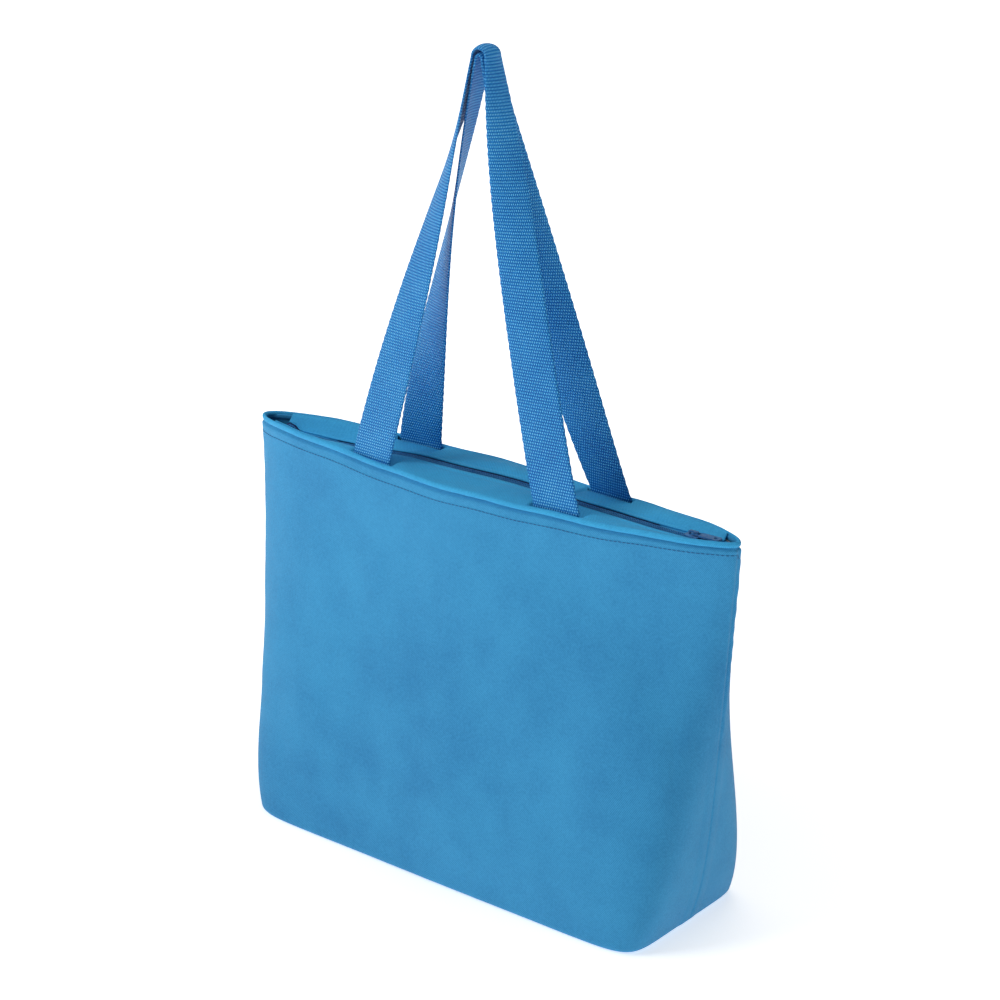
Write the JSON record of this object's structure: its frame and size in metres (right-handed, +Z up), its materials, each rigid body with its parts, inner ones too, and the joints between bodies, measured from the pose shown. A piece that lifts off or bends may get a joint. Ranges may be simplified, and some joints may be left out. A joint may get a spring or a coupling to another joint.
{
  "type": "insulated cooler bag",
  "caption": "Soft insulated tote with a zipped top, boxed base, foil lining and carrying straps sewn in at the rim.",
  "frame": {"origin": "middle of the base, on the surface that the bag stands on", "axes": "+X along the bag's width to the side where the closed zip's slider rests, +Y to the back, +Z up"},
  "size_m": [0.441, 0.1392, 0.6128],
  "materials": {
    "shell_fabric": "woven polyester, matt with a faint sheen",
    "facing_fabric": "woven polyester, matt",
    "foam": "closed-cell foam",
    "liner_foil": "foil film, satin",
    "base_board": "plain plastic board",
    "seam_binding": "binding tape",
    "webbing": "woven polypropylene webbing, slight gloss",
    "zip_tape": "woven tape",
    "zip_coil": "nylon coil",
    "zip_metal": "painted",
    "slider_paint": "painted, semi-gloss"
  },
  "bodies": {
    "root": {"outer_front_panel": "shell_fabric", "outer_back_panel": "shell_fabric", "foam_front": "foam", "foam_back": "foam", "liner_front": "liner_foil", "liner_back": "liner_foil", "base_board": "base_board", "front_rim_roll": "facing_fabric", "back_rim_roll": "facing_fabric", "front_handle_ends": "webbing", "back_handle_ends": "webbing", "left_seam_binding": "seam_binding", "right_seam_binding": "seam_binding", "left_zip_end": "facing_fabric", "right_zip_end": "facing_fabric", "zip_end_coils": "zip_coil", "zip_stops": "zip_metal"},
    "front_flap": {"front_facing": "facing_fabric", "front_zip_tape": "zip_tape", "front_zip_coil": "zip_coil"},
    "back_flap": {"back_facing": "facing_fabric", "back_zip_tape": "zip_tape", "back_zip_coil": "zip_coil"},
    "slider": {"slider_body": "slider_paint", "slider_bridge": "slider_paint"},
    "pull": {"pull_tab": "slider_paint"},
    "front_handle": {"front_handle": "webbing"},
    "back_handle": {"back_handle": "webbing"}
  },
  "joints": [
    {"name": "front_flap_fold", "type": "hinge", "parent": "root", "child": "front_flap", "pos_m": [0, -0.0317, 0.3017], "axis": [1, 0, 0], "range_deg": [0, 75]},
    {"name": "back_flap_fold", "type": "hinge", "parent": "root", "child": "back_flap", "pos_m": [0, 0.0317, 0.3017], "axis": [-1, 0, 0], "range_deg": [0, 75]},
    {"name": "zip_slide", "type": "slide", "parent": "root", "child": "slider", "axis": [-1, 0, 0], "range_m": [0, 0.364]},
    {"name": "pull_swing", "type": "hinge", "parent": "slider", "child": "pull", "pos_m": [0.182, 0, 0.2989], "axis": [0, -1, 0], "range_deg": [0, 170]},
    {"name": "front_handle_swing", "type": "hinge", "parent": "root", "child": "front_handle", "pos_m": [0, -0.0355, 0.3015], "axis": [1, 0, 0], "range_deg": [0, 150]},
    {"name": "back_handle_swing", "type": "hinge", "parent": "root", "child": "back_handle", "pos_m": [0, 0.0355, 0.3015], "axis": [-1, 0, 0], "range_deg": [0, 150]}
  ]
}
